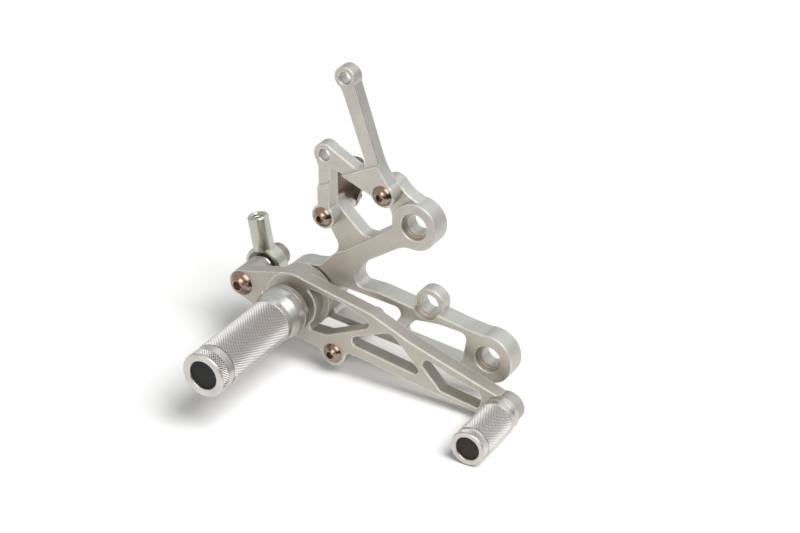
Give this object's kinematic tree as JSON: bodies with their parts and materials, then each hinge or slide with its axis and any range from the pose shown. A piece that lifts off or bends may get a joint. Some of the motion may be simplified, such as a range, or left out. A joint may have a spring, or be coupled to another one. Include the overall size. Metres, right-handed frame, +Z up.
{
  "type": "motorcycle rear-set footrest",
  "caption": "Machined footrest plate with knurled peg, windowed brake pedal on the same spindle, rod end on its short arm and a two-armed brake cylinder bracket.",
  "frame": {"origin": "axis of the upper frame bolt's bore at the plate's flat back face", "axes": "+X forward along the plate, +Z up, -Y out of the plate along the footpeg towards the rider's boot"},
  "size_m": [0.1808, 0.1315, 0.1755],
  "materials": {
    "plate_aluminium": "satin, machined",
    "pedal_aluminium": "satin, machined",
    "bracket_aluminium": "satin, machined",
    "peg_aluminium": "turned, knurled grip",
    "washer_steel": "turned",
    "bush_bronze": "turned",
    "dark_screw": "black oxide",
    "peg_plug": "matte",
    "toe_plug": "matte",
    "ball_steel": "polished",
    "race_steel": "satin",
    "zinc_steel": "zinc plated",
    "bronzed_screw": "bronze-brown plating, polished",
    "bronzed_steel": "bronze-brown plating, satin"
  },
  "bodies": {
    "plate": {"main_plate": "plate_aluminium", "upper_bracket": "bracket_aluminium", "footpeg": "peg_aluminium", "peg_collar": "peg_aluminium", "neck_washer": "washer_steel", "thrust_washer": "washer_steel", "pivot_spindle": "washer_steel", "footpeg_screw": "dark_screw", "footpeg_plug": "peg_plug", "tab_spacer": "peg_aluminium", "switch_tab": "bronzed_steel", "tab_nut": "bronzed_screw", "rear_bracket_screw": "bronzed_screw", "front_bracket_screw": "bronzed_screw"},
    "pedal": {"brake_pedal": "pedal_aluminium", "pedal_bush": "bush_bronze", "toe_peg": "peg_aluminium", "toe_peg_washer": "peg_aluminium", "toe_peg_screw": "dark_screw", "toe_peg_plug": "toe_plug", "rod_end_bolt": "bronzed_screw", "rod_end_nut": "bronzed_screw", "post_screw": "bronzed_screw", "post_sleeve": "peg_aluminium", "post_nut": "bronzed_screw"},
    "rod_ball": {"rod_end_ball": "ball_steel"},
    "rod_eye": {"rod_end_housing": "zinc_steel", "rod_end_race": "race_steel"}
  },
  "joints": [
    {"name": "pedal_hinge", "type": "hinge", "parent": "plate", "child": "pedal", "pos_m": [-0.0653, -0.022, -0.0561], "axis": [0, 1, 0], "range_deg": [-8, 20]},
    {"name": "rod_end_swing", "type": "hinge", "parent": "pedal", "child": "rod_ball", "pos_m": [-0.099, 0.0001, -0.0539], "axis": [0, 1, 0], "range_deg": [-190, 50]},
    {"name": "rod_end_tilt", "type": "hinge", "parent": "rod_ball", "child": "rod_eye", "pos_m": [-0.099, 0.0001, -0.0539], "axis": [0.9848, 0, 0.1736], "range_deg": [-8, 8]}
  ]
}
